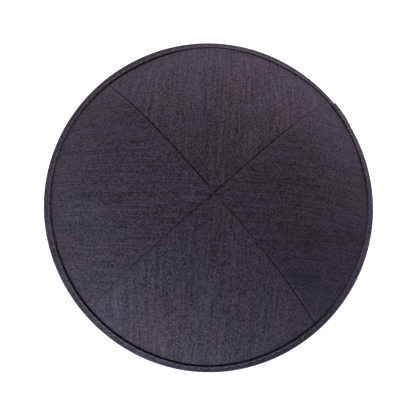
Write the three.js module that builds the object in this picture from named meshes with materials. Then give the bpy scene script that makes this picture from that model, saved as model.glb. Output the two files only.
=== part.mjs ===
// A kippah: a small round skullcap of plain woven cloth, lying on its open side.
// Four crown panels meet in four seams that run from the tip of the crown to the edge.
// Each panel's seam allowances are turned in and pressed flat against its inner side.
// A folded strip of the same cloth binds the edge, and its end is lapped over its start.
// Units are millimetres and +Z is up. The front is at -Y and the right side at +X.
// The origin is the middle of the bound edge, on the surface that the cap lies on.

import * as THREE from "three";

// The crown
const CLOTH_WIDTH = 154.4; // across the cloth at the edge, along X
const CLOTH_LENGTH = 156.6; // across the cloth at the edge, along Y
const CROWN_HEIGHT = 36; // from the surface below to the tip
const CROWN_CURVE = 2.8; // power of the crown's profile: 1 is a cone, higher is flatter on top
const CLOTH_EDGE_HEIGHT = 0.75; // of the outer side of the cloth at the edge
const TIP_X = 1.2; // where the seams cross, off the middle of the edge
const TIP_Y = -0.7;
const PANEL_DIP = 2.6; // how far the middle of a panel lies below the ridges along its seams
const EDGE_PULL_IN = 0.4; // how far each seam draws the edge in

// The cloth and its seams
const WALL = 1.2; // outer cloth with its stiffening
const SEAM_GAP = 0.3; // between the solids of two panels
const SEAM_ROLL = 0.5; // how deep the cloth dips where it turns into a seam
const SEAM_ROLL_WIDTH = 0.8;
const ALLOWANCE_WIDTH = 6; // of the cloth turned in along a seam
const ALLOWANCE_THICKNESS = 0.8;
const ALLOWANCE_STEP = 0.5; // length of the slope where the allowance ends

// The binding, whose section is given from the folded edge of the cap inwards
const BINDING_WIDTH = 4.7;
const BINDING_LEG = 0.8; // thickness of the folded strip on either side of the cloth
const BINDING_GAP = 0.3; // between the strip and the cloth in its fold
const FOLD_ROUNDING = 1.3; // how far back from the edge the fold starts to round
const LEG_ROUNDING = 0.35; // of the strip's two long edges
const LAP_THICKNESS = 0.7; // of the strip's turned end, where it lies on the start

// The seams: azimuth in degrees anticlockwise from +X, and the panel on its anticlockwise side
const SEAMS = [
  { azimuth: -48.8, panelAfter: "crown_panel_right" },
  { azimuth: 41.6, panelAfter: "crown_panel_back" },
  { azimuth: 130.3, panelAfter: "crown_panel_left" },
  { azimuth: 222, panelAfter: "crown_panel_front" },
];

// The lapped end of the binding: azimuth in degrees, and the share of the lap's thickness there
const LAP = [
  { azimuth: 28.9, share: 0 },
  { azimuth: 33, share: 0.8 },
  { azimuth: 39.3, share: 1 },
  { azimuth: 39.9, share: 0 },
];

// How finely the solids are made
const CROWN_ROWS = [0.035, 0.08, 0.15, 0.24, 0.34, 0.44, 0.54, 0.64, 0.74, 0.84]; // shares of the way out
const MIDDLE_COLUMNS = 8; // across a panel, between its allowances
const BINDING_STATIONS = 96;
const FOLD_STEPS = 6;
const STATION_CLEARANCE = 1.2; // degrees between a regular station and one of the lap's
const DERIVATIVE_STEP = 1e-4;
const SAME_POINT = 1e-3;

const CLOTH_COLOUR = 0x423c47;

const radians = THREE.MathUtils.degToRad;
const TIP = new THREE.Vector2(TIP_X, TIP_Y);

const panels = SEAMS.map((seam, i) => ({
  name: seam.panelAfter,
  start: seam.azimuth,
  end: i + 1 < SEAMS.length ? SEAMS[i + 1].azimuth : SEAMS[0].azimuth + 360,
}));

// A point of the cloth's outer side: share 0 is the tip and 1 the edge, across goes from 0 at
// the panel's first seam to 1 at its next. Beyond the seams the panel's own surface goes on.
function clothPoint(panel, share, across) {
  const azimuth = radians(THREE.MathUtils.lerp(panel.start, panel.end, across));
  const a = CLOTH_WIDTH / 2;
  const b = CLOTH_LENGTH / 2;
  const oval = (a * b) / Math.hypot(b * Math.cos(azimuth), a * Math.sin(azimuth));
  const nearSeam = (1 + Math.cos(2 * Math.PI * across)) / 2;
  const radius = oval - EDGE_PULL_IN * nearSeam;
  const edge = new THREE.Vector2(Math.cos(azimuth), Math.sin(azimuth)).multiplyScalar(radius);
  const plan = edge.sub(TIP).multiplyScalar(share).add(TIP);

  const offMiddle = 2 * across - 1;
  const dipAlong = (27 / 4) * share ** 2 * (1 - share); // reaches 1 two thirds of the way out
  const dip = PANEL_DIP * (1 - offMiddle ** 2) * dipAlong;
  const rise = CROWN_HEIGHT - CLOTH_EDGE_HEIGHT;
  return new THREE.Vector3(plan.x, plan.y, CLOTH_EDGE_HEIGHT + rise * (1 - share ** CROWN_CURVE) - dip);
}

// The cloth's directions at a point: down the crown, with its speed in millimetres for each unit
// of share, and out of the cloth.
function clothFrame(panel, share, across) {
  const here = clothPoint(panel, share, across);
  const down = clothPoint(panel, share + DERIVATIVE_STEP, across).sub(here);
  const around = clothPoint(panel, share, across + DERIVATIVE_STEP).sub(here);
  const speed = down.length() / DERIVATIVE_STEP;
  const out = new THREE.Vector3().crossVectors(down, around).normalize();
  return { here, down: down.normalize(), out, speed };
}

// Turns a direction into the upright plane of the seam at one side of a panel, where across is 0
// or 1, so that the sides of two panels stay parallel.
function intoSeamPlane(direction, panel, across) {
  const along = clothPoint(panel, 1, across).sub(clothPoint(panel, 0, across));
  const side = new THREE.Vector3(-along.y, along.x, 0).normalize();
  return direction.clone().addScaledVector(side, -direction.dot(side)).normalize();
}

// Adds the triangles between four corners, given anticlockwise as seen from outside the solid.
function addFace(corners, a, b, c, d) {
  for (const [p, q, r] of [[a, b, c], [a, c, d]]) {
    const real = Math.min(p.distanceTo(q), q.distanceTo(r), r.distanceTo(p)) > SAME_POINT;
    if (real) corners.push(p, q, r);
  }
}

function meshOf(name, corners) {
  const geometry = new THREE.BufferGeometry().setFromPoints(corners);
  geometry.computeVertexNormals();
  const cloth = new THREE.MeshStandardMaterial({ color: CLOTH_COLOUR, roughness: 0.9, metalness: 0 });
  const mesh = new THREE.Mesh(geometry, cloth);
  mesh.name = name;
  return mesh;
}

// The columns across a panel, for a row that is length millimetres long between its seams. Near
// the tip, where two allowances have no room side by side, they narrow with the panel.
function columnsOf(length) {
  const bands = [
    { distance: 0, roll: SEAM_ROLL, doubled: 1 },
    { distance: SEAM_ROLL_WIDTH, roll: 0, doubled: 1 },
    { distance: ALLOWANCE_WIDTH, roll: 0, doubled: 1 },
    { distance: ALLOWANCE_WIDTH + ALLOWANCE_STEP, roll: 0, doubled: 0 },
  ];
  const widest = 0.42; // share of the row that one seam's bands may take
  const last = bands[bands.length - 1].distance;
  const squeeze = Math.min(1, (widest * length) / last);
  const first = bands.map((band) => ({ ...band, across: (band.distance * squeeze) / length }));
  const inner = first[first.length - 1].across;
  const middle = [];
  for (let i = 1; i < MIDDLE_COLUMNS; i++) {
    const across = THREE.MathUtils.lerp(inner, 1 - inner, i / MIDDLE_COLUMNS);
    middle.push({ across, roll: 0, doubled: 0 });
  }
  const mirrored = first.map((band) => ({ ...band, across: 1 - band.across })).reverse();
  return [...first, ...middle, ...mirrored];
}

// The rows down a panel: the share of the way to the edge, and whether the allowances reach it.
// The last rows are measured from the edge, so that the allowances stop short of the binding.
function rowsOf(panel) {
  const { speed } = clothFrame(panel, 1, 0.5);
  const fromEdge = (distance) => 1 - distance / speed;
  const allowanceEnd = BINDING_WIDTH + 2 * BINDING_GAP;
  const channelBottom = BINDING_LEG + BINDING_GAP;
  return [
    ...CROWN_ROWS.map((share) => ({ share, doubled: 1 })),
    { share: fromEdge(allowanceEnd + ALLOWANCE_STEP), doubled: 1 },
    { share: fromEdge(allowanceEnd), doubled: 0 },
    { share: fromEdge(channelBottom + BINDING_GAP), doubled: 0 },
  ];
}

function crownPanel(panel) {
  const halfAngle = radians(panel.end - panel.start) / 2;
  const halfGap = SEAM_GAP / 2;
  const radius = (CLOTH_WIDTH + CLOTH_LENGTH) / 4;
  const tipShare = halfGap / Math.sin(halfAngle) / radius;

  const tip = clothFrame(panel, tipShare, 0.5);
  const tipOutside = tip.here.clone().addScaledVector(tip.out, -SEAM_ROLL);
  const tipInside = tip.here.clone().addScaledVector(tip.out, -(WALL + ALLOWANCE_THICKNESS));
  const outside = [columnsOf(1).map(() => tipOutside)];
  const inside = [columnsOf(1).map(() => tipInside)];
  for (const row of rowsOf(panel)) {
    const length = 2 * halfAngle * radius * row.share;
    const inset = halfGap / length; // the half gap, as a share of the way across
    const outsideRow = [];
    const insideRow = [];
    for (const column of columnsOf(length)) {
      const frame = clothFrame(panel, row.share, inset + column.across * (1 - 2 * inset));
      const atSeam = column.across === 0 || column.across === 1;
      const out = atSeam ? intoSeamPlane(frame.out, panel, column.across) : frame.out;
      const thickness = WALL + ALLOWANCE_THICKNESS * column.doubled * row.doubled;
      outsideRow.push(frame.here.clone().addScaledVector(out, -column.roll));
      insideRow.push(frame.here.clone().addScaledVector(out, -thickness));
    }
    outside.push(outsideRow);
    inside.push(insideRow);
  }

  const corners = [];
  const lastRow = outside.length - 1;
  const lastColumn = outside[0].length - 1;
  for (let i = 0; i < lastRow; i++) {
    const [top, next, under, underNext] = [outside[i], outside[i + 1], inside[i], inside[i + 1]];
    for (let j = 0; j < lastColumn; j++) {
      addFace(corners, top[j], next[j], next[j + 1], top[j + 1]);
      addFace(corners, under[j], under[j + 1], underNext[j + 1], underNext[j]);
    }
    addFace(corners, top[0], under[0], underNext[0], next[0]);
    addFace(corners, top[lastColumn], next[lastColumn], underNext[lastColumn], under[lastColumn]);
  }
  const [edge, underEdge] = [outside[lastRow], inside[lastRow]];
  for (let j = 0; j < lastColumn; j++) {
    addFace(corners, edge[j], underEdge[j], underEdge[j + 1], edge[j + 1]);
  }
  return meshOf(panel.name, corners);
}

// The binding's section as points of (down the crown, out of the cloth), from the edge of the
// cloth's outer side. It is a U round the cloth, and lap is the thickness of the strip's turned end.
function bindingSection(lap) {
  const outerFace = BINDING_GAP + BINDING_LEG + lap;
  const innerFace = -(WALL + BINDING_GAP + BINDING_LEG + lap);
  const channelBottom = -(BINDING_LEG + BINDING_GAP);
  const halfThickness = (outerFace - innerFace) / 2;
  const middle = (outerFace + innerFace) / 2;
  const points = [
    [channelBottom, -(WALL + BINDING_GAP)],
    [channelBottom, BINDING_GAP],
    [-BINDING_WIDTH, BINDING_GAP],
    [-BINDING_WIDTH, outerFace - LEG_ROUNDING],
    [-BINDING_WIDTH + LEG_ROUNDING, outerFace],
  ];
  for (let i = 0; i <= FOLD_STEPS; i++) {
    const angle = Math.PI * (0.5 - i / FOLD_STEPS);
    const down = (FOLD_ROUNDING + lap / 2) * Math.cos(angle) - FOLD_ROUNDING;
    points.push([down, middle + halfThickness * Math.sin(angle)]);
  }
  points.push(
    [-BINDING_WIDTH + LEG_ROUNDING, innerFace],
    [-BINDING_WIDTH, innerFace + LEG_ROUNDING],
    [-BINDING_WIDTH, -(WALL + BINDING_GAP)],
  );
  return points;
}

function lapShare(azimuth) {
  for (let i = 0; i + 1 < LAP.length; i++) {
    const [from, to] = [LAP[i], LAP[i + 1]];
    if (azimuth >= from.azimuth && azimuth <= to.azimuth) {
      const along = (azimuth - from.azimuth) / (to.azimuth - from.azimuth);
      return THREE.MathUtils.lerp(from.share, to.share, along);
    }
  }
  return 0;
}

function rimBinding() {
  const azimuths = LAP.map((row) => row.azimuth);
  for (let i = 0; i < BINDING_STATIONS; i++) {
    const azimuth = (360 * i) / BINDING_STATIONS + SEAMS[0].azimuth;
    if (LAP.every((row) => Math.abs(row.azimuth - azimuth) > STATION_CLEARANCE)) azimuths.push(azimuth);
  }
  azimuths.sort((a, b) => a - b);

  const stations = azimuths.map((azimuth) => {
    const panel = panels.find((p) => azimuth >= p.start && azimuth < p.end);
    const across = (azimuth - panel.start) / (panel.end - panel.start);
    const { here, down, out } = clothFrame(panel, 1, across);
    const section = bindingSection(LAP_THICKNESS * lapShare(azimuth));
    return section.map(([along, off]) => {
      const point = here.clone().addScaledVector(down, along).addScaledVector(out, off);
      point.z = Math.max(point.z, 0); // pressed flat where it lies on the surface
      return point;
    });
  });

  const corners = [];
  stations.forEach((station, i) => {
    const next = stations[(i + 1) % stations.length];
    station.forEach((point, k) => {
      const m = (k + 1) % station.length;
      addFace(corners, point, station[m], next[m], next[k]);
    });
  });
  return meshOf("rim_binding", corners);
}

const kippah = new THREE.Group();
kippah.name = "kippah";
for (const panel of panels) kippah.add(crownPanel(panel));
kippah.add(rimBinding());

export default kippah;
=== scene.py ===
# A kippah of four crown panels in a plain charcoal weave, bound round its edge with a folded strip.
import math

import bmesh
import bpy
from mathutils import Matrix, Vector, noise


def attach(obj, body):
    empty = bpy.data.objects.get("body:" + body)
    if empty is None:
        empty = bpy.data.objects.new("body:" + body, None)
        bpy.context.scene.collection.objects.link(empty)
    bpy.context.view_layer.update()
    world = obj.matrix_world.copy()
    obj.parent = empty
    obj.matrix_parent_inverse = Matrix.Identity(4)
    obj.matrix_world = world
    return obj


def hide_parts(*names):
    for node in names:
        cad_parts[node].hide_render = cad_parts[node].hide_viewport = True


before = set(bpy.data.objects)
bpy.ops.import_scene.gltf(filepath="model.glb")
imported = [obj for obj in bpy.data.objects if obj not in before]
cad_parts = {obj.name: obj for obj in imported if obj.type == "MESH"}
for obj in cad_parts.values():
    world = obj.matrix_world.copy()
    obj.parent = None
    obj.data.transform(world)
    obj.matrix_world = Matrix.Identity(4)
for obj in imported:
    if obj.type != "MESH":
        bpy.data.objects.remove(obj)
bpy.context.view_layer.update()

# Sizes are in millimetres and angles in degrees until a piece is finished, which makes it metres.
# Azimuths run anticlockwise from +X, as seen from above, and the front of the cap is at -Y.
metresPerMillimetre = 0.001
weaveUnit = 100  # millimetres of cloth for each unit of a weave map

cap = {
    "clothWidth": 154.4,  # across the cloth at the edge, along X
    "clothLength": 156.6,  # across the cloth at the edge, along Y
    "crownHeight": 36,
    "crownCurve": 2.8,  # 1 is a cone, and a higher power is flatter on top
    "slopeLength": 1.15,  # from the tip to the edge along the cloth, for each unit of its plan
    "slopePower": 3.4,  # a higher power puts more of that extra length near the edge
    "edgeHeight": 0.75,  # of the cloth's outer side at the edge
    "tip": Vector((1.2, -0.7)),  # where the seams cross
    "panelDip": 2.6,  # of a panel's middle below the ridges along its seams
    "edgePullIn": 0.4,  # where each seam meets the edge
    "wall": 1.2,  # outer cloth with its stiffening
    "rolledEnd": 1.1,  # between the cloth's edge and the outside of the fold round it
    "cutShare": 0.56,  # of its rectangle that a panel's flat piece fills
}

# Each seam has a table of how tightly it is drawn in, from the tip at 0 to the edge at 1. Where two
# seams cross at the tip, the pair that was sewn first is pressed flat under the other pair.
seams = [
    {
        "azimuth": -48.8,
        "panelAfter": "right",
        "tightness": [
            (0, 0.1), (0.035, 0.25), (0.06, 0.6), (0.12, 1), (0.85, 1.1), (0.93, 0.7), (1, 0.5),
        ],
    },
    {
        "azimuth": 41.6,
        "panelAfter": "back",
        "tightness": [
            (0, 1.5), (0.03, 2.1), (0.06, 1.7), (0.12, 1.1), (0.55, 1), (0.7, 0.55), (0.85, 0.4),
            (1, 0.25),
        ],
    },
    {
        "azimuth": 130.3,
        "panelAfter": "left",
        "tightness": [
            (0, 0.2), (0.02, 0.4), (0.05, 1), (0.08, 1.25), (0.6, 1.2), (0.75, 0.9), (0.85, 0.75),
            (1, 0.7),
        ],
    },
    {
        "azimuth": 222,
        "panelAfter": "front",
        "tightness": [
            (0, 1.1), (0.5, 1.1), (0.62, 0.95), (0.7, 0.7), (0.85, 0.6), (1, 0.5),
        ],
    },
]


def ramp(table, at):  # straight lines between a table's points
    if at <= table[0][0]:
        return table[0][1]
    for (start, low), (end, high) in zip(table, table[1:]):
        if at <= end:
            return low + (high - low) * (at - start) / (end - start)
    return table[-1][1]


def smooth(at):  # eases from 0 to 1
    at = min(max(at, 0), 1)
    return at * at * (3 - 2 * at)


panels = []
for index, seam in enumerate(seams):
    following = seams[(index + 1) % len(seams)]
    panels.append({
        "side": seam["panelAfter"],
        "start": seam["azimuth"],
        "end": following["azimuth"] + (0 if following["azimuth"] > seam["azimuth"] else 360),
        "seams": (seam, following),
    })
meanRadius = (cap["clothWidth"] + cap["clothLength"]) / 4


def panelLength(panel, share):  # along the cloth, from one seam to the next
    return math.radians(panel["end"] - panel["start"]) * meanRadius * share


def clothPoint(panel, share, across):  # share runs from the tip to the edge, across from seam to seam
    azimuth = math.radians(panel["start"] + (panel["end"] - panel["start"]) * across)
    a = cap["clothWidth"] / 2
    b = cap["clothLength"] / 2
    oval = a * b / math.hypot(b * math.cos(azimuth), a * math.sin(azimuth))
    nearSeam = (1 + math.cos(2 * math.pi * across)) / 2  # 1 at both seams and 0 midway
    radius = oval - cap["edgePullIn"] * nearSeam
    edge = Vector((math.cos(azimuth), math.sin(azimuth))) * radius
    plan = cap["tip"] + (edge - cap["tip"]) * share
    dipAlong = 27 / 4 * share**2 * (1 - share)  # 1 at its deepest, two thirds of the way down
    dip = cap["panelDip"] * (1 - (2 * across - 1) ** 2) * dipAlong
    rise = cap["crownHeight"] - cap["edgeHeight"]
    return Vector((plan.x, plan.y, cap["edgeHeight"] + rise * (1 - share ** cap["crownCurve"]) - dip))


# A point of the cloth, the ways down the crown and out of the cloth, and how many millimetres of cloth
# there are for each whole share
def clothFrame(panel, share, across):
    step = 1e-3
    turn = 5e-3
    here = clothPoint(panel, share, across)
    down = clothPoint(panel, share + step, across) - here
    around = clothPoint(panel, share, across + turn) - clothPoint(panel, share, across - turn)
    return here, down.normalized(), down.cross(around).normalized(), down.length / step


seamFold = {
    "radius": 0.38,  # of the roll where a panel turns down into a fully drawn seam
    "opening": 0.15,  # from the seam's plane to the cloth on each side, at the top of a fully drawn seam
    "uprightReach": 1.5,  # how near a seam the cloth's thickness turns into the seam's plane
    "lift": 0.12,  # of the cloth over the turned-in allowance
    "liftReach": 1.2,  # how far from the seam the cloth is fully lifted
    "liftFade": 2,  # over the allowance's cut edge
    "liftStart": 0.15,  # share of the way down from the tip
    "puckerHeight": 0.06,
    "puckerLength": 5.4,
    "puckerReach": 2.5,  # how far from the seam the puckers fade
    "puckerDrift": 2.1,  # how unevenly one pucker follows another
    "puckerDriftLength": 9,
    "puckerStart": 0.1,
}

allowance = {
    "width": 6,
    "widthLimit": 0.45,  # largest part of the panel's width that it takes, near the tip
    "thickness": 0.6,
    "apart": 0.03,  # from the panel's inner side
    "rawWave": 0.25,  # of the cut edge
    "rawWaves": 31,  # along the whole seam
    "curl": 0.12,  # of the cut edge, off the cloth
    "curlWaves": 19,
    "shareStart": 0.03,
    "endClearance": 0.9,  # between its end and the binding's inner leg
    "columns": 6,
    "rows": 72,
}

panelMesh = {
    "columns": 92,
    "rows": 104,
    "sideZone": 2.6,  # beside each seam, where the columns are close
    "sideShare": 0.15,  # of the columns, in each side zone
    "sideLimit": 0.35,  # largest part of the panel's width that a side zone takes, near the tip
    "sideCrowding": 1.8,  # a higher power crowds the columns more towards the seam
    "gapLimit": 0.1,  # largest part of the panel's width that a seam's opening takes
    "edgeZone": 6,  # beside the edge, where the rows are close
    "edgeShare": 0.15,
    "smallestShare": 3e-4,  # of the way down, because the seams would meet in one point at 0
    "unevenness": 0.3,  # soft hollows and swellings of the cloth
    "unevenLength": 26,
    "evenSides": 8,  # beside each seam, where they fade
    "evenEdge": 0.15,  # share of the way up from the edge, where they fade
    "pressDepth": 0.2,  # of the cloth along the binding
    "pressReach": 0.22,
    "flatBeside": 3,  # beside the binding, where the seams' lift and puckers fade
    "rises": [  # of the cloth along the binding, by azimuth, where it isn't pressed down
        (18, 0), (28, 0.27), (46, 0.34), (62, 0.17), (75, 0.32), (92, 0.32), (108, 0),
    ],
    "riseReach": 1.5,  # how far from the binding they fade
    "riseUnder": 0.3,  # how far under the binding they start
    "weaveShift": 0.37,  # from one panel's part of the weave map to the next
}


def intoSeamPlane(panel, direction, side):
    along = clothPoint(panel, 1, side) - clothPoint(panel, 0, side)
    square = Vector((-along.y, along.x, 0)).normalized()
    return (direction - square * direction.dot(square)).normalized()


def uprightAt(panel, out, distance, side):  # near a seam, the cloth's thickness stays on its own side
    blend = smooth(1 - distance / seamFold["uprightReach"])
    return out.lerp(intoSeamPlane(panel, out, side), blend).normalized() if blend else out


def acrossAt(column, length, gap):  # columns are close beside the seams
    side = min(column, 1 - column)
    zone = min(panelMesh["sideZone"], panelMesh["sideLimit"] * length)
    share = panelMesh["sideShare"]
    gap = min(gap, panelMesh["gapLimit"] * length)
    if side < share:
        distance = gap + (zone - gap) * (side / share) ** panelMesh["sideCrowding"]
    else:
        distance = zone + (length / 2 - zone) * (side - share) / (0.5 - share)
    return distance / length if column < 0.5 else 1 - distance / length


def shareAt(row, shareEnd, speed):  # rows are close beside the edge
    zone = panelMesh["edgeZone"] / speed
    fine = panelMesh["edgeShare"]
    if row < 1 - fine:
        return row / (1 - fine) * (shareEnd - zone)
    return shareEnd - zone * (1 - row) / fine


def seamRelief(panel, side, share, distance):
    tight = ramp(panel["seams"][side]["tightness"], share)
    radius = seamFold["radius"] * tight
    toRoll = min(max(distance - seamFold["opening"] * tight, 0), radius)
    drop = radius - math.sqrt(radius**2 - (radius - toRoll) ** 2)
    down = share * meanRadius
    drift = seamFold["puckerDrift"] * noise.noise((down / seamFold["puckerDriftLength"], side, 3))
    pucker = math.sin(2 * math.pi * down / seamFold["puckerLength"] + drift)
    pucker *= seamFold["puckerHeight"] * math.exp(-distance / seamFold["puckerReach"]) * min(tight, 1)
    fade = seamFold["liftFade"]
    lift = seamFold["lift"] * smooth(distance / seamFold["liftReach"])
    lift *= smooth((allowance["width"] + fade / 2 - distance) / fade)
    lift *= smooth(share / seamFold["liftStart"])
    return lift + pucker * smooth(share / seamFold["puckerStart"]), drop


def unevenAt(here, share):
    at = here / panelMesh["unevenLength"]
    soft = noise.noise(at) + 0.5 * noise.noise(at * 2.3 + Vector((7, 1, 4)))  # wide ones and finer ones
    return panelMesh["unevenness"] * soft * smooth((1 - share) / panelMesh["evenEdge"])


def weaveUv(panel, here):  # the weave runs along the panel's middle
    middle = math.radians((panel["start"] + panel["end"]) / 2)
    offset = here.xy - cap["tip"]
    share = offset.length / meanRadius
    flat = 1 + (cap["slopeLength"] - 1) * share ** cap["slopePower"]
    across = -offset.x * math.sin(middle) + offset.y * math.cos(middle)
    along = offset.x * math.cos(middle) + offset.y * math.sin(middle)
    shift = panelMesh["weaveShift"] * panels.index(panel)
    return across * flat / weaveUnit + shift, along * flat / weaveUnit + 2 * shift


def addSlab(mesh, columns, rows, place):  # a sheet with thickness, whose points and weave place() gives
    grid = bmesh.ops.create_grid(mesh, x_segments=columns, y_segments=rows, size=0.5)
    faces = list(dict.fromkeys(face for vert in grid["verts"] for face in vert.link_faces))
    risen = bmesh.ops.extrude_face_region(mesh, geom=faces, use_keep_orig=True)["geom"]
    outside = [item for item in risen if isinstance(item, bmesh.types.BMVert)]
    bmesh.ops.translate(mesh, verts=outside, vec=(0, 0, 1))
    layer = mesh.loops.layers.uv.get("weave") or mesh.loops.layers.uv.new("weave")
    for vert in grid["verts"] + outside:
        vert.co, uv = place(vert.co.x + 0.5, vert.co.y + 0.5, vert.co.z)
        for loop in vert.link_loops:
            loop[layer].uv = uv


def finishPiece(mesh, name, material, replaced=(), sharp=60):
    bmesh.ops.remove_doubles(mesh, verts=mesh.verts, dist=1e-5)
    bmesh.ops.recalc_face_normals(mesh, faces=mesh.faces)
    bmesh.ops.scale(mesh, verts=mesh.verts, vec=[metresPerMillimetre] * 3)
    data = bpy.data.meshes.new(name)
    mesh.to_mesh(data)
    mesh.free()
    data.shade_smooth()
    data.set_sharp_from_angle(angle=math.radians(sharp))
    data.materials.append(material)
    piece = bpy.data.objects.new(name, data)
    bpy.context.scene.collection.objects.link(piece)
    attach(piece, "root")
    if replaced:
        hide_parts(*replaced)
    print("made", name, "with", len(data.polygons), "faces")
    return piece


def crownPanel(panel, material):
    speed = clothFrame(panel, 1, 0.5)[3]
    shareEnd = 1 - cap["rolledEnd"] / speed
    flapEnd = 1 - (bindingWidth(panel["start"]) + allowance["endClearance"]) / speed

    def placeCloth(column, row, layer):
        share = max(shareAt(row, shareEnd, speed), panelMesh["smallestShare"])
        length = panelLength(panel, share)
        tight = ramp(panel["seams"][round(column)]["tightness"], share)
        gap = seamFold["opening"] * tight * layer
        across = acrossAt(column, length, gap) if row > 0 else 0.5
        here, down, out, _ = clothFrame(panel, share, across)
        side = 0 if across < 0.5 else 1
        distance = length * min(across, 1 - across)
        out = uprightAt(panel, out, distance, side)
        soft = unevenAt(here, share) * smooth(distance / panelMesh["evenSides"])
        if layer < 0.5:
            return here + out * (soft - cap["wall"]), weaveUv(panel, here)
        raised, drop = seamRelief(panel, side, share, distance)
        otherDrop = seamRelief(panel, 1 - side, share, length - distance)[1]
        azimuth = panel["start"] + (panel["end"] - panel["start"]) * across
        fromBinding = (1 - share) * speed - bindingWidth(azimuth)
        rise = ramp(panelMesh["rises"], azimuth % 360)
        press = panelMesh["pressDepth"] - min(rise, panelMesh["pressDepth"])
        press *= math.exp(-max(fromBinding, 0) / panelMesh["pressReach"])
        raised *= smooth(fromBinding / panelMesh["flatBeside"])
        rise *= math.exp(-fromBinding / panelMesh["riseReach"])
        rise *= smooth((fromBinding + panelMesh["riseUnder"]) / panelMesh["riseUnder"])
        raised += rise
        return here + out * (soft + raised - max(drop, otherDrop) - press), weaveUv(panel, here)

    def placeFlap(side):
        def place(column, row, layer):
            share = allowance["shareStart"] + (flapEnd - allowance["shareStart"]) * row
            length = panelLength(panel, share)
            waveAt = (share * allowance["rawWaves"], side, panels.index(panel))
            wave = allowance["rawWave"] * noise.noise(waveAt)
            width = min(allowance["width"] + wave, allowance["widthLimit"] * length)
            distance = width * column
            across = distance / length if side == 0 else 1 - distance / length
            here, down, out, _ = clothFrame(panel, share, across)
            out = uprightAt(panel, out, distance, side)
            soft = unevenAt(here, share) * smooth(distance / panelMesh["evenSides"])
            curlAt = (share * allowance["curlWaves"], 5, side)
            curl = allowance["curl"] * (1 + noise.noise(curlAt)) * column**2
            depth = cap["wall"] + allowance["apart"] + curl + allowance["thickness"] * (1 - layer)
            return here + out * (soft - depth), weaveUv(panel, here)
        return place

    mesh = bmesh.new()
    addSlab(mesh, panelMesh["columns"], panelMesh["rows"], placeCloth)
    for side in (0, 1):
        addSlab(mesh, allowance["columns"], allowance["rows"], placeFlap(side))
    node = "crown_panel_" + panel["side"]
    return finishPiece(mesh, node + "_cloth", material, [node])


binding = {
    "widths": [  # from the fold to the strip's folded edge, by azimuth, as it was guided by hand
        (0, 4.25), (15, 4.55), (45, 4.35), (62, 5.35), (90, 4.8), (120, 6.35), (155, 4.95),
        (195, 5.2), (225, 5.05), (245, 4.6), (265, 4.15), (305, 5.15), (325, 4.4), (345, 4.1),
        (360, 4.25),
    ],
    "edgeSinks": [  # of the folded edge below the outer face, by azimuth
        (0, 0.15), (18, 0.2), (30, 0.2), (45, 0.15), (60, 0.1), (90, 0.15), (120, 0.25),
        (150, 0.35), (180, 0.1), (210, 0), (310, 0), (330, 0.25), (360, 0.15),
    ],
    "outerFace": 0.74,  # above the cloth's outer side
    "foldStart": 1.3,  # from the fold to where the strip starts to turn round it
    "edgeRound": 0.14,  # across the folded edge, from its outside to its middle
    "edgeHalf": 0.36,  # half the height of the folded edge
    "channelHalf": 0.72,  # half the height of the room inside the fold for the cloth's rolled end
    "sunk": [(0.08, 0.04), (0.32, 0.34), (0.6, 0.1), (0.85, 0.02)],  # from the edge to the fold
    "cutWidth": 2.6,  # of the flat strip, without its turned-in edges, for each unit of finished width
    "cutAt": 225,  # azimuth of a usual width
    "stitchIn": 1.15,  # from the folded edge to the stitches
    "stitchLength": 3.3,  # from one needle hole to the next
    "holeDepth": 0.14,
    "holeLength": 0.45,
    "holeWidth": 0.4,
    "bulge": 0.09,  # of the folded edge between two needle holes
    "bulgeReach": 1.1,  # how far from the folded edge it goes
    "bulgeDown": 0.4,  # how far below the cloth's outer side it goes
    "bulgeEase": 0.5,  # over which it fades both ways
    "slant": 0.27,  # lean of the bulges, in stitches for each millimetre of width
    "drag": 0.03,  # height of the slanting ripples between the stitches and the fold
    "dragLength": 2.1,
    "dragSlant": 0.35,
    "dragFrom": 1.4,  # from the folded edge
    "dragEase": 0.6,
    "dragEnd": 1.2,  # before the fold, over which they fade
    "unevenness": 0.08,
    "unevenLength": 7,
    "unevenEnd": 0.3,  # before the fold
    "paintedLightAndShade": [  # painted light and shade on the strip, by azimuth, as a factor on its colour where 1 is the crown's: above 1 is painted light, below 1 painted shade
        (0, 2.2), (15, 1.6), (30, 1), (42, 1.3), (60, 1.25), (75, 1.15), (95, 0.95), (120, 0.65),
        (140, 0.75), (155, 1), (200, 0.95), (225, 0.8), (270, 0.8), (300, 0.65), (315, 1),
        (330, 2), (345, 2.4), (360, 2.2),
    ],
    "stations": 1180,  # sections round the rim
    "spinRadius": 100,  # at which the outline is spun, before each section goes to its place
    "lapAzimuth": 39.6,
    "lap": [  # how much of the lapped end lies over the start, by azimuth
        (28.9, 0), (33, 0.8), (39.1, 1), (39.4, 0.9), (39.55, 0.6), (39.6, 0),
    ],
    "lapEnd": 0.6,  # the same, for the turned end itself
    "lapThickness": 0.28,
    "lapForward": 0.95,  # of the lap's fold, past the fold of the rest
    "lapForwardFrom": 1.6,  # from the fold to where that starts
    "lapForwardEase": 1.4,  # over which it grows
}


def bindingWidth(azimuth):  # eased between the table's places
    turned = azimuth % 360
    for (start, before), (end, after) in zip(binding["widths"], binding["widths"][1:]):
        if turned <= end:
            return before + (after - before) * smooth((turned - start) / (end - start))


def rimFrame(azimuth):  # the cloth's edge at an azimuth
    turned = (azimuth - panels[0]["start"]) % 360 + panels[0]["start"]
    panel = next(p for p in panels if p["start"] <= turned < p["end"])
    across = (turned - panel["start"]) / (panel["end"] - panel["start"])
    here, down, out, _ = clothFrame(panel, 1, across)
    return here, down, out


def arcPoints(centre, radii, start, end, steps):
    for step in range(steps + 1):
        angle = math.radians(start + (end - start) * step / steps)
        yield centre[0] + radii[0] * math.cos(angle), centre[1] + radii[1] * math.sin(angle)


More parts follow.
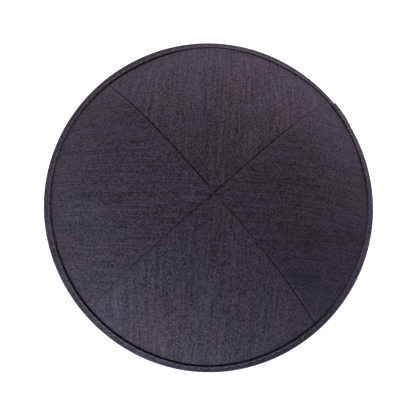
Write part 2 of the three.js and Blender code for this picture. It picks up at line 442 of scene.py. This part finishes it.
# The strip's section, as places past the cloth's edge, with the crown below 0, and out of the cloth
def bindingOutline(azimuth):
    face = binding["outerFace"]
    middle = -cap["wall"] / 2
    edge = binding["edgeRound"]
    fold = binding["foldStart"]
    top = face - ramp(binding["edgeSinks"], azimuth % 360)
    rounded = (edge, binding["edgeHalf"])
    half = list(arcPoints((edge - bindingWidth(azimuth), top - rounded[1]), rounded, 250, 50, 8))
    start = half[-1][0]
    half += [(start + (-fold - start) * part, face - sunk) for part, sunk in binding["sunk"]]
    half += list(arcPoints((-fold, middle), (fold, face - middle), 90, 15, 5))
    mirrored = [(past, 2 * middle - out) for past, out in reversed(half)]
    channel = [(-cap["rolledEnd"], middle + part * binding["channelHalf"]) for part in (-1, 1)]
    return half + [(0, middle)] + mirrored + channel


def sunkAt(fromEdge, width):  # of the strip's face below its highest, by the stitches
    share = (fromEdge - binding["edgeRound"]) / (width - binding["foldStart"] - binding["edgeRound"])
    return ramp([(0, 0), *binding["sunk"], (1, 0)], share)


def bindingRelief(past, out, along, width):  # how the stitches pull the strip in, on both faces
    phase = along / binding["stitchLength"]
    face = 1 if out > -cap["wall"] / 2 else -1
    fromEdge = past + width
    ease = binding["bulgeEase"]
    onEdge = smooth((binding["bulgeReach"] - fromEdge) / ease)
    onEdge *= smooth((out * face + binding["bulgeDown"]) / ease)
    bulge = binding["bulge"] * math.cos(2 * math.pi * (phase + 0.5 + binding["slant"] * fromEdge))
    nearLine = math.exp(-(((fromEdge - binding["stitchIn"]) / binding["holeWidth"]) ** 2))
    toHole = (phase - round(phase)) * binding["stitchLength"]
    hole = binding["holeDepth"] * math.exp(-((toHole / binding["holeLength"]) ** 2)) * nearLine
    ripple = math.sin(2 * math.pi * (along / binding["dragLength"] + binding["dragSlant"] * past))
    drag = binding["drag"] * ripple * smooth((fromEdge - binding["dragFrom"]) / binding["dragEase"])
    drag *= smooth(-past / binding["dragEnd"])
    uneven = binding["unevenness"] * noise.noise((along / binding["unevenLength"], past / 2, face))
    uneven *= smooth(-binding["unevenEnd"] - past)
    return face * (bulge * onEdge - hole + drag + uneven)


def bindingPoint(azimuth, past, out):
    here, down, outward = rimFrame(azimuth)
    point = here + down * past + outward * out
    point.z = max(point.z, 0)
    return point


def rimBinding(material):
    step = 360 / binding["stations"]
    start = binding["lapAzimuth"]
    azimuths = [start + step * k for k in range(1, binding["stations"])]
    # the lap's own places take the place of the even ones that are near
    azimuths = [a for a in azimuths if all(abs(a - 360 - row[0]) > 0.6 * step for row in binding["lap"])]
    azimuths = [start] + sorted(azimuths + [azimuth + 360 for azimuth, share in binding["lap"][:-1]])
    azimuths.append(start + 359.995)  # the turned end stands up steeply from the layer below
    frames = [rimFrame(azimuth) for azimuth in azimuths]

    outline = bindingOutline(0)
    wide = binding["spinRadius"]
    mesh = bmesh.new()
    corners = [mesh.verts.new((wide + round(past, 2), 0, round(out, 2))) for past, out in outline]
    edges = [mesh.edges.new((corner, corners[k - 1])) for k, corner in enumerate(corners)]
    bmesh.ops.spin(mesh, geom=corners + edges, cent=(0, 0, 0), axis=(0, 0, 1), dvec=(0, 0, 0),
                   angle=2 * math.pi, steps=len(azimuths), use_merge=True, use_duplicate=False)

    outlineLengths = [0]
    for before, after in zip(outline, outline[1:]):
        outlineLengths.append(outlineLengths[-1] + math.dist(before, after))
    layer = mesh.loops.layers.uv.new("weave")
    # painted light and shade for each point, which the binding's material multiplies into its colour
    shade = mesh.verts.layers.float.new("shade")
    cornerAt = {(round(past, 2), round(out, 2)): k for k, (past, out) in enumerate(outline)}
    places = {}
    for vert in mesh.verts:
        turn = math.atan2(vert.co.y, vert.co.x) / (2 * math.pi) % 1
        station = round(turn * len(azimuths)) % len(azimuths)
        places[vert] = station, cornerAt[round(vert.co.xy.length - wide, 2), round(vert.co.z, 2)]
    widths = [bindingWidth(azimuth) for azimuth in azimuths]
    outlines = [bindingOutline(azimuth) for azimuth in azimuths]
    for vert, (station, corner) in places.items():
        here, down, outward = frames[station]
        past, out = outlines[station][corner]
        along = math.radians(azimuths[station]) * meanRadius
        lapped = ramp(binding["lap"], azimuths[station] - 360)
        if station == 0:
            lapped = 0
        elif station == len(azimuths) - 1:
            lapped = binding["lapEnd"]
        way = 1 if out > -cap["wall"] / 2 else -1
        inFold = abs(out + cap["wall"] / 2) < 1 and past > -1.2  # the fold's inner parts keep their level
        channel = corner >= len(outline) - 2
        swell = 0 if channel or inFold else way * lapped * binding["lapThickness"]
        onward = smooth((past + binding["lapForwardFrom"]) / binding["lapForwardEase"])
        forward = 0 if channel else lapped * binding["lapForward"] * onward
        relief = 0 if channel else bindingRelief(past, out, along, widths[station])
        vert.co = here + down * (past + forward) + outward * (out + swell + relief)
        vert.co.z = max(vert.co.z, 0)
        vert[shade] = ramp(binding["paintedLightAndShade"], azimuths[station] % 360)
    diagonal = math.sqrt(2)
    for face in mesh.faces:  # the weave lies across the strip at 45 degrees
        stations = [places[loop.vert][0] for loop in face.loops]
        wraps = max(stations) - min(stations) > 1
        for loop, station in zip(face.loops, stations):
            azimuth = azimuths[station] + (360 if wraps and station == 0 else 0)
            along = math.radians(azimuth) * meanRadius
            over = outlineLengths[places[loop.vert][1]]
            loop[layer].uv = ((along + over) / diagonal / weaveUnit, (along - over) / diagonal / weaveUnit)
    return finishPiece(mesh, "rim_binding_strip", material, ["rim_binding"], sharp=50)


thread = {
    "width": 0.42,
    "height": 0.3,
    "length": 2.55,
    "dive": 0.2,  # of each stitch's ends into the cloth
    "lean": 7,  # across the line
    "lift": 0.04,  # of its middle above the cloth
    "dark": (0.02, 0.017, 0.024, 1),
    "light": (0.085, 0.07, 0.1, 1),
}

lapStitches = {
    "rows": [(0.6, 0), (1.6, 0.5), (2.6, 0)],  # from the folded edge, and first place in spacings
    "spacing": 2.7,
    "width": 0.62,
    "height": 0.42,
    "length": 1.2,
    "dive": 0.2,
    "lean": 12,
    "lift": 0.08,
    "start": 21,  # azimuths of the lap
    "end": 38.8,
    # painted highlight: the same thread as the rest, in a lighter copy of its colours, so that the lap's
    # stitches show light
    "dark": (0.06, 0.052, 0.068, 1),
    "light": (0.24, 0.215, 0.265, 1),
}


def addStitch(mesh, middle, along, out, look):
    ball = bmesh.ops.create_icosphere(mesh, subdivisions=2, radius=0.5)["verts"]
    for vert in ball:
        reach = math.copysign(abs(2 * vert.co.x) ** 0.7, vert.co.x)  # blunt ends
        sunk = look["dive"] * reach**2
        vert.co = (reach * look["length"] / 2, vert.co.y * look["width"], vert.co.z * look["height"] - sunk)
    side = out.cross(along).normalized()
    turn = Matrix((along, side, along.cross(side))).transposed().to_4x4()
    bmesh.ops.transform(mesh, matrix=Matrix.Translation(middle) @ turn, verts=ball)


def addRimStitch(mesh, look, azimuth, fromEdge, inside=False):  # on the strip, from its folded edge
    width = bindingWidth(azimuth)
    swell = ramp(binding["lap"], azimuth) if azimuth < binding["lapAzimuth"] else 0
    level = binding["outerFace"] - sunkAt(fromEdge, width) + look["lift"] + swell * binding["lapThickness"]
    past = fromEdge - width
    out = -cap["wall"] - level if inside else level
    middle = bindingPoint(azimuth, past, out)
    around = (bindingPoint(azimuth + 0.2, past, out) - middle).normalized()
    outward = rimFrame(azimuth)[2]
    facing = -outward if inside else outward
    lean = Matrix.Rotation(math.radians(look["lean"]), 3, facing)
    addStitch(mesh, middle, lean @ around, facing, look)


def bindingStitches(material, lapMaterial):  # a line of them inside and outside, and the back stitches
    count = round(2 * math.pi * meanRadius / binding["stitchLength"])
    for name, inside in (("binding_stitches_outside", False), ("binding_stitches_inside", True)):
        mesh = bmesh.new()
        for k in range(count):
            azimuth = math.degrees((k + 0.5) * binding["stitchLength"] / meanRadius) % 360
            if inside or not lapStitches["start"] < azimuth < lapStitches["end"]:
                addRimStitch(mesh, thread, azimuth, binding["stitchIn"], inside)
        finishPiece(mesh, name, material)

    mesh = bmesh.new()
    for fromEdge, offset in lapStitches["rows"]:
        span = math.radians(lapStitches["end"] - lapStitches["start"]) * meanRadius
        for k in range(int(span / lapStitches["spacing"])):
            along = (k + offset) * lapStitches["spacing"]
            azimuth = lapStitches["start"] + math.degrees(along / meanRadius)
            addRimStitch(mesh, lapStitches, azimuth, fromEdge)
    finishPiece(mesh, "lap_stitches", lapMaterial)


seamLadder = {
    "start": 3,  # from the tip
    "end": 73,
    "spacing": 2.4,
    "width": 0.3,
    "height": 0.3,
    "length": 0.62,
    "dive": 0,
    "lean": 0.3,  # down the crown, for each unit across the seam
    "depth": 0.38,  # below the cloth, where the seam is fully drawn in
    "leastDepth": 0.1,
}


def seamThreads(material):  # the stitches that show at the bottom of each seam
    mesh = bmesh.new()
    for panel in panels:
        steps = int((seamLadder["end"] - seamLadder["start"]) / seamLadder["spacing"])
        for k in range(steps):
            share = (seamLadder["start"] + k * seamLadder["spacing"]) / meanRadius
            tight = min(ramp(panel["seams"][0]["tightness"], share), 1)
            here, down, out, _ = clothFrame(panel, share, 0)
            out = intoSeamPlane(panel, out, 0)
            side = out.cross(down).normalized()
            depth = seamLadder["depth"] * tight + seamLadder["leastDepth"]
            along = (side + seamLadder["lean"] * down).normalized()
            addStitch(mesh, here - out * depth, along, out, seamLadder)
    finishPiece(mesh, "seam_threads", material)


# A shader socket that takes part in Python expressions
class Shade:
    def __init__(self, tree, socket=None):
        self.tree = tree
        self.socket = socket

    def node(self, kind, settings, inputs, output=0):
        made = self.tree.nodes.new(kind)
        for name, value in settings.items():
            setattr(made, name, value)
        for name, value in inputs.items():
            if isinstance(value, Shade):
                self.tree.links.new(value.socket, made.inputs[name])
            else:
                made.inputs[name].default_value = value
        return Shade(self.tree, made.outputs[output] if made.outputs else None)

    def math(self, operation, *values):
        return self.node("ShaderNodeMath", {"operation": operation}, dict(enumerate(values)))

    def __add__(self, other):
        return self.math("ADD", self, other)

    __radd__ = __add__

    def __sub__(self, other):
        return self.math("SUBTRACT", self, other)

    def __rsub__(self, other):
        return self.math("SUBTRACT", other, self)

    def __mul__(self, other):
        return self.math("MULTIPLY", self, other)

    __rmul__ = __mul__

    def __truediv__(self, other):
        return self.math("DIVIDE", self, other)

    def __rtruediv__(self, other):
        return self.math("DIVIDE", other, self)

    def clamped(self):
        return self.node("ShaderNodeClamp", {}, {"Value": self})

    def noiseAt(self, x, y):
        at = self.node("ShaderNodeCombineXYZ", {}, {"X": x, "Y": y})
        return self.node("ShaderNodeTexNoise", {"noise_dimensions": "2D"},
                         {"Vector": at, "Scale": 1.0, "Detail": 2.0, "Roughness": 0.5})

    def randomAt(self, x, y):  # another number for each pair of whole numbers
        at = self.node("ShaderNodeCombineXYZ", {}, {"X": x, "Y": y})
        return self.node("ShaderNodeTexWhiteNoise", {"noise_dimensions": "2D"}, {"Vector": at})

    def mixed(self, factor, first, second, blend="MIX"):
        return self.node("ShaderNodeMix", {"data_type": "RGBA", "blend_type": blend},
                         {0: factor, 6: first, 7: second}, 2)


def newMaterial(name):
    material = bpy.data.materials.new(name)
    material.use_nodes = True
    material.node_tree.nodes.clear()
    return material, Shade(material.node_tree)


def finishMaterial(material, make, inputs):
    surface = make.node("ShaderNodeBsdfPrincipled", {}, inputs)
    make.node("ShaderNodeOutputMaterial", {}, {"Surface": surface})


charcoal = {
    "warpPitch": 0.5,  # between neighbouring threads
    "weftPitch": 0.54,
    "dark": (0.003, 0.0025, 0.004, 1),
    "violet": (0.067, 0.051, 0.070, 1),
    "blue": (0.055, 0.051, 0.080, 1),
    "tone": 0.56,  # of an average thread, between the dark and the light
    "paintedGapShade": 0.05,  # painted shade in the gaps between threads: how much darker they are than the threads
    "contrast": 1.5,  # a higher power leaves fewer light specks among darker yarn
    "twoTone": 0.2,  # how much lighter the threads along the panel are than those across it
    "crossings": 0.66,  # how much the places where threads cross differ
    "dashes": 0.15,  # how much short stretches of yarn differ
    "streaks": 0.7,  # how much the long slubs differ
    "clouds": 0.12,  # how much wide patches differ
    "dashLength": 1.9,
    "slubRate": 0.035,  # of the long slubs, for each millimetre of yarn
    "hueSpread": 1.4,  # of the patches between violet and blue
    "wander": 0.6,  # of the threads off their straight lines
    "relief": 0.06,  # height of the weave
}


def clothMaterial(name, look, withPaintedLight=False):  # a plain weave of slubby yarns over the piece's own weave map
    material, make = newMaterial(name)
    weave = make.node("ShaderNodeUVMap", {"uv_map": "weave"}, {})
    u = make.node("ShaderNodeSeparateXYZ", {}, {"Vector": weave}, "X") * weaveUnit
    v = make.node("ShaderNodeSeparateXYZ", {}, {"Vector": weave}, "Y") * weaveUnit
    u = u + (make.noiseAt(u * 0.06, v * 0.04) - 0.5) * look["wander"]
    v = v + (make.noiseAt(u * 0.05, v * 0.07) - 0.5) * look["wander"]

    warp = u / look["warpPitch"]
    weft = v / look["weftPitch"]
    warpNumber = make.math("FLOOR", warp)
    weftNumber = make.math("FLOOR", weft)
    warpSine = make.math("SINE", warp * math.pi)
    weftSine = make.math("SINE", weft * math.pi)
    warpUp = weftSine * make.math("COSINE", warpNumber * math.pi)  # over and under the weft in turn
    weftUp = warpSine * make.math("COSINE", weftNumber * math.pi)
    warpHeight = make.math("ABSOLUTE", warpSine) * 0.6 + warpUp * 0.4  # round threads that rise and dive
    weftHeight = make.math("ABSOLUTE", weftSine) * 0.6 - weftUp * 0.4
    height = make.math("MAXIMUM", warpHeight, weftHeight).clamped()
    warpOnTop = ((warpHeight - weftHeight) * 4 + 0.5).clamped()

    crossing = make.randomAt(warpNumber, weftNumber)
    dashNumber = make.math("FLOOR", v / look["dashLength"] + warpNumber * 0.371)
    dash = make.randomAt(warpNumber, dashNumber)
    weftDash = make.randomAt(weftNumber, make.math("FLOOR", u / look["dashLength"] + weftNumber * 0.613))
    slub = make.noiseAt(warpNumber * 3.71, v * look["slubRate"])  # far apart in the noise for each thread
    cloud = make.noiseAt(u * 0.05, v * 0.03)
    yarn = weftDash * 0.35 + dash * 0.65
    tone = (crossing - 0.5) * look["crossings"] + (yarn - 0.5) * look["dashes"]
    tone = tone + (warpOnTop - 0.5) * yarn * look["twoTone"]
    tone = tone + (slub - 0.5) * look["streaks"] + (cloud - 0.5) * look["clouds"]
    # painted shade: the low parts of the weave, in the gaps between threads, are darker and its tops a
    # little lighter
    tone = tone + (height - 0.7) * look["paintedGapShade"] + look["tone"]
    shade = make.math("POWER", tone.clamped(), look["contrast"])
    hue = ((cloud - 0.5) * look["hueSpread"] + 0.5).clamped()
    colour = make.mixed(shade, look["dark"], make.mixed(hue, look["violet"], look["blue"]))
    # the colour is multiplied by the painted light and shade that the strip's points carry
    if withPaintedLight:
        paintedLight = make.node("ShaderNodeAttribute", {"attribute_name": "shade"}, {}, "Fac")
        colour = make.mixed(1, colour, paintedLight, "MULTIPLY")

    relief = height * 0.8 + slub * 0.5 + crossing * 0.35
    bumped = make.node("ShaderNodeBump", {},
                       {"Strength": 0.7, "Distance": look["relief"] * metresPerMillimetre, "Height": relief})
    finishMaterial(material, make, {
        "Base Color": colour,
        "Roughness": 1 - height * 0.18,
        "Normal": bumped,
        "Sheen Weight": 0.06,
        "Sheen Roughness": 0.45,
        "Sheen Tint": (0.86, 0.84, 1.0, 1),
        "Specular IOR Level": 0.2,
    })
    return material


def threadMaterial(name, look):  # fine fibres in two tones
    material, make = newMaterial(name)
    place = make.node("ShaderNodeTexCoord", {}, {}, "Object")
    fibre = make.node("ShaderNodeTexNoise", {}, {"Vector": place, "Scale": 6000.0, "Detail": 2.0})
    colour = make.mixed(fibre, look["dark"], look["light"])
    bumped = make.node("ShaderNodeBump", {}, {"Strength": 0.5, "Distance": 0.00005, "Height": fibre})
    finishMaterial(material, make, {
        "Base Color": colour,
        "Roughness": fibre * 0.2 + 0.5,
        "Normal": bumped,
        "Sheen Weight": 0.1,
    })
    return material


floorLook = {
    "reach": 3,  # metres from the middle to each side
    "drop": 0.00002,  # metres below the cap
    "grey": (0.88, 0.88, 0.88, 1),
    "paler": (0.9, 0.9, 0.9, 1),
    "glow": (0.72, 0.78, 1, 1),
}


def paleFloor():
    material, make = newMaterial("pale_floor")
    place = make.node("ShaderNodeTexCoord", {}, {}, "Object")
    mottle = make.node("ShaderNodeTexNoise", {}, {"Vector": place, "Scale": 3.0, "Detail": 3.0})
    finishMaterial(material, make, {
        "Base Color": make.mixed(mottle, floorLook["grey"], floorLook["paler"]),
        "Roughness": 0.8,
        "Emission Color": floorLook["glow"],
        "Emission Strength": 1.0,
    })
    mesh = bmesh.new()
    bmesh.ops.create_grid(mesh, x_segments=8, y_segments=8, size=floorLook["reach"])
    bmesh.ops.translate(mesh, verts=mesh.verts, vec=(0, 0, -floorLook["drop"]))
    data = bpy.data.meshes.new("floor")
    mesh.to_mesh(data)
    mesh.free()
    data.materials.append(material)
    floor = bpy.data.objects.new("floor", data)
    bpy.context.scene.collection.objects.link(floor)


def placedAt(azimuth, elevation, distance):  # from the frame's origin
    level = math.cos(math.radians(elevation))
    turn = math.radians(azimuth)
    way = Vector((math.cos(turn) * level, math.sin(turn) * level, math.sin(math.radians(elevation))))
    return way * distance * metresPerMillimetre


lights = [
    {"name": "cool_side", "azimuth": 240, "elevation": 6, "power": 21.1, "colour": (0.91, 0.915, 1.0)},
    {"name": "high_back", "azimuth": 80, "elevation": 30, "power": 9, "colour": (1.0, 0.97, 0.87)},
    {"name": "rose_side", "azimuth": 60, "elevation": 20, "power": 2.9, "colour": (1.0, 0.5, 0.93)},
]
lightBox = {"distance": 900, "size": 500}
surroundings = {"colour": (1, 1, 1, 1), "strength": 0.1}


def addLights():
    for look in lights:
        data = bpy.data.lights.new(look["name"], "AREA")
        data.shape = "SQUARE"
        data.size = lightBox["size"] * metresPerMillimetre
        data.energy = look["power"]
        data.color = look["colour"]
        lamp = bpy.data.objects.new(look["name"], data)
        lamp.location = placedAt(look["azimuth"], look["elevation"], lightBox["distance"])
        lamp.rotation_euler = lamp.location.to_track_quat("Z", "Y").to_euler()
        lamp.visible_camera = False
        bpy.context.scene.collection.objects.link(lamp)
    world = bpy.data.worlds.new("pale_surroundings")
    world.use_nodes = True
    background = world.node_tree.nodes["Background"]
    background.inputs["Color"].default_value = surroundings["colour"]
    background.inputs["Strength"].default_value = surroundings["strength"]
    bpy.context.scene.world = world
    bpy.context.scene.view_settings.view_transform = "Standard"


camera = {
    "aim": (-0.52, -1.64, 2),
    "distance": 750,
    "leanFront": 10.1,  # off plumb, towards the front
    "leanLeft": 2.1,
    "frameWidth": 194.5,  # that the picture covers at the aim
}


def addCamera():
    data = bpy.data.cameras.new("camera")
    data.sensor_fit = "HORIZONTAL"
    data.lens = data.sensor_width * camera["distance"] / camera["frameWidth"]
    left = math.sin(math.radians(camera["leanLeft"]))
    front = math.sin(math.radians(camera["leanFront"]))
    back = Vector((-left, -front, math.sqrt(1 - left**2 - front**2)))
    right = Vector((0, 1, 0)).cross(back).normalized()
    turn = Matrix((right, back.cross(right), back)).transposed()
    viewer = bpy.data.objects.new("camera", data)
    place = (Vector(camera["aim"]) + back * camera["distance"]) * metresPerMillimetre
    viewer.matrix_world = Matrix.Translation(place) @ turn.to_4x4()
    bpy.context.scene.collection.objects.link(viewer)
    bpy.context.scene.camera = viewer


print("camera, lights and floor")
addCamera()
addLights()
paleFloor()

print("cloth pieces")
crownCloth = clothMaterial("charcoal_weave", charcoal)
# the binding's weave, with painted light and shade from its points
bindingCloth = clothMaterial("charcoal_bias_weave", charcoal, withPaintedLight=True)
threads = threadMaterial("charcoal_thread", thread)
# the lap's stitches in a lighter copy of the thread: painted highlight
lapThreads = threadMaterial("lap_thread_painted_highlight", lapStitches)
for panel in panels:
    cloth = crownPanel(panel, crownCloth)
    cutWidth = panelLength(panel, 1) + 2 * allowance["width"]
    cutLength = meanRadius * cap["slopeLength"] + allowance["width"]
    cutArea = cap["cutShare"] * cutWidth * cutLength
    cutWidth * metresPerMillimetre
    cutArea * metresPerMillimetre**2
seamThreads(threads)
strip = rimBinding(bindingCloth)
stripWidth = binding["cutWidth"] * bindingWidth(binding["cutAt"])
stripWidth * metresPerMillimetre
bindingStitches(threads, lapThreads)

print("kippah done")
